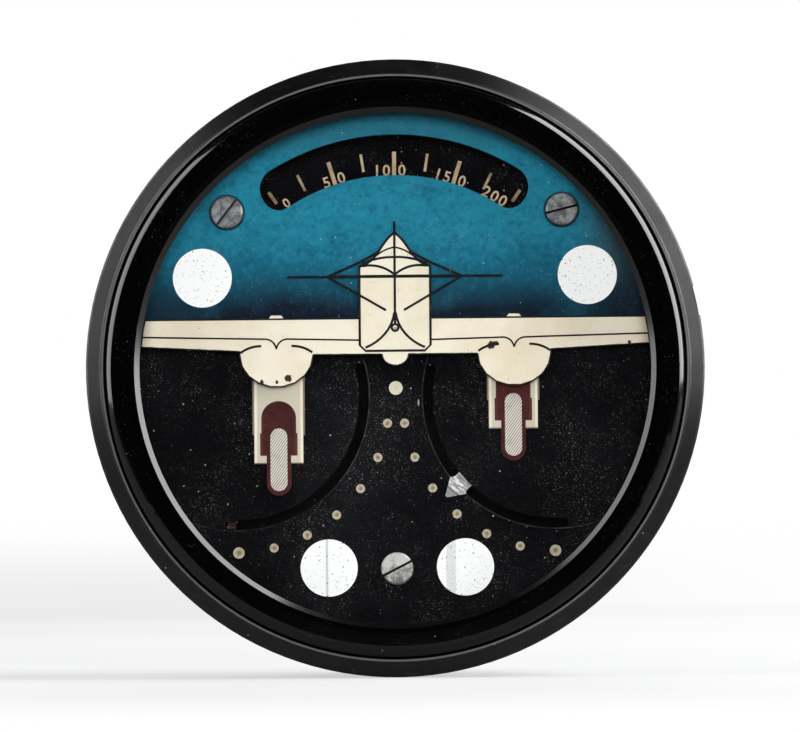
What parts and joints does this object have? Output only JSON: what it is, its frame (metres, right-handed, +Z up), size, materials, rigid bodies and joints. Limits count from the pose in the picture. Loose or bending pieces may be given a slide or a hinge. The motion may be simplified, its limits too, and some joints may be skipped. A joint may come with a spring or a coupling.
{
  "type": "landing gear position indicator",
  "caption": "Round black panel instrument with a painted aircraft dial, sliding wheel plates, gear pointers, signal windows and a pressure scale behind flat glass.",
  "frame": {"origin": "on the instrument's axis, at the back face of the front flange, which lies against the panel", "axes": "+Y to the rear along the case barrel, -Y out of the dial, +Z up, +X to the right seen from the front"},
  "size_m": [0.13, 0.075, 0.13],
  "materials": {
    "bakelite_satin": "matt moulded phenolic, lightly worn",
    "bakelite_gloss": "polished phenolic",
    "clear_glass": "flat clear glass",
    "black_rubber": "soft",
    "black_paint": "matt black",
    "sky_paint": "brushed teal over a darker ground",
    "cream_paint": "aged cream enamel",
    "black_enamel": "black line enamel",
    "dial_black": "dusty black enamel",
    "luminous_paint": "aged luminous paint",
    "worn_steel": "dull with scratches",
    "brass": "machined",
    "opal_white": "opal white",
    "tinned_steel": "tinned",
    "bulb_glass": "frosted",
    "scale_paint": "faded tan paint",
    "needle_paint": "off-white paint",
    "spring_bronze": "phosphor bronze",
    "maroon_paint": "dark maroon enamel",
    "tyre_paint": "pale paint with engraved hatching",
    "pointer_brown": "worn brown paint on sheet metal",
    "pointer_aluminium": "bare sheet, bent"
  },
  "bodies": {
    "instrument": {"aircraft_linework": "black_enamel", "aircraft_relief": "cream_paint", "bezel_ring": "bakelite_gloss", "bourdon_end_piece": "brass", "bourdon_tube": "spring_bronze", "case_body": "bakelite_satin", "clamp_nuts": "worn_steel", "clamp_studs": "worn_steel", "dial_posts": "brass", "dial_screws": "worn_steel", "dial_spacers": "brass", "front_glass": "clear_glass", "gauge_bridge": "brass", "gauge_hairspring": "spring_bronze", "glass_gasket": "black_rubber", "glass_spacer_ring": "black_paint", "lamp_bulbs": "bulb_glass", "lamp_shrouds": "tinned_steel", "lamp_sockets": "brass", "lower_dial_plate": "dial_black", "luminous_dots": "luminous_paint", "movement_back_plate": "brass", "movement_front_plate": "black_paint", "movement_front_screws": "worn_steel", "movement_pillar_screws": "worn_steel", "movement_pillars": "brass", "pressure_union": "brass", "rack_guides": "brass", "rear_cover": "bakelite_satin", "rear_cover_gasket": "black_rubber", "rear_cover_screws": "worn_steel", "scale_marks": "scale_paint", "scale_plate": "dial_black", "scale_posts": "brass", "shaft_bushes": "brass", "signal_lenses": "opal_white", "terminal_block": "bakelite_satin", "terminal_screws": "brass", "upper_dial_plate": "sky_paint"},
    "left_shaft": {"left_drive_shaft": "worn_steel", "left_pinion": "brass", "left_pointer": "pointer_brown"},
    "left_wheel": {"left_rack": "brass", "left_leg_plate": "cream_paint", "left_mudguard": "maroon_paint", "left_tyre": "tyre_paint"},
    "right_shaft": {"right_drive_shaft": "worn_steel", "right_pinion": "brass", "right_pointer": "pointer_aluminium"},
    "right_wheel": {"right_rack": "brass", "right_leg_plate": "cream_paint", "right_mudguard": "maroon_paint", "right_tyre": "tyre_paint"},
    "gauge_pointer": {"gauge_arbor": "worn_steel", "pressure_pointer": "needle_paint"},
    "gauge_sector": {"gauge_sector": "brass", "gauge_sector_arbor": "worn_steel"},
    "gauge_link": {"gauge_link": "worn_steel"}
  },
  "joints": [
    {"name": "left_gear_shaft", "type": "hinge", "parent": "instrument", "child": "left_shaft", "pos_m": [-0.03375, 0, -0.0058], "axis": [0, -1, 0], "range_deg": [0, 90]},
    {"name": "left_wheel_slide", "type": "slide", "parent": "instrument", "child": "left_wheel", "axis": [0, 0, 1], "range_m": [0, 0.01336]},
    {"name": "right_gear_shaft", "type": "hinge", "parent": "instrument", "child": "right_shaft", "pos_m": [0.03375, 0, -0.0058], "axis": [0, 1, 0], "range_deg": [-47.6, 42.4]},
    {"name": "right_wheel_slide", "type": "slide", "parent": "instrument", "child": "right_wheel", "axis": [0, 0, 1], "range_m": [-0.00707, 0.0063]},
    {"name": "gauge_sector_pivot", "type": "hinge", "parent": "instrument", "child": "gauge_sector", "pos_m": [0, 0, -0.0168], "axis": [0, -1, 0], "range_deg": [0, 15.4], "stiffness_Nm_per_rad": 0.05},
    {"name": "pressure_pointer_pivot", "type": "hinge", "parent": "instrument", "child": "gauge_pointer", "pos_m": [0, 0, 0], "axis": [0, 1, 0], "range_deg": [0, 77]},
    {"name": "gauge_link_slide", "type": "slide", "parent": "instrument", "child": "gauge_link", "axis": [0, 0, -1], "range_m": [0, 0.00323]}
  ],
  "couplings": [
    {"joint": "left_wheel_slide", "follows": "left_gear_shaft", "m_per_rad": 0.0085},
    {"joint": "right_wheel_slide", "follows": "right_gear_shaft", "m_per_rad": 0.0085},
    {"joint": "pressure_pointer_pivot", "follows": "gauge_sector_pivot", "ratio": 5},
    {"joint": "gauge_link_slide", "follows": "gauge_sector_pivot", "m_per_rad": 0.012}
  ]
}
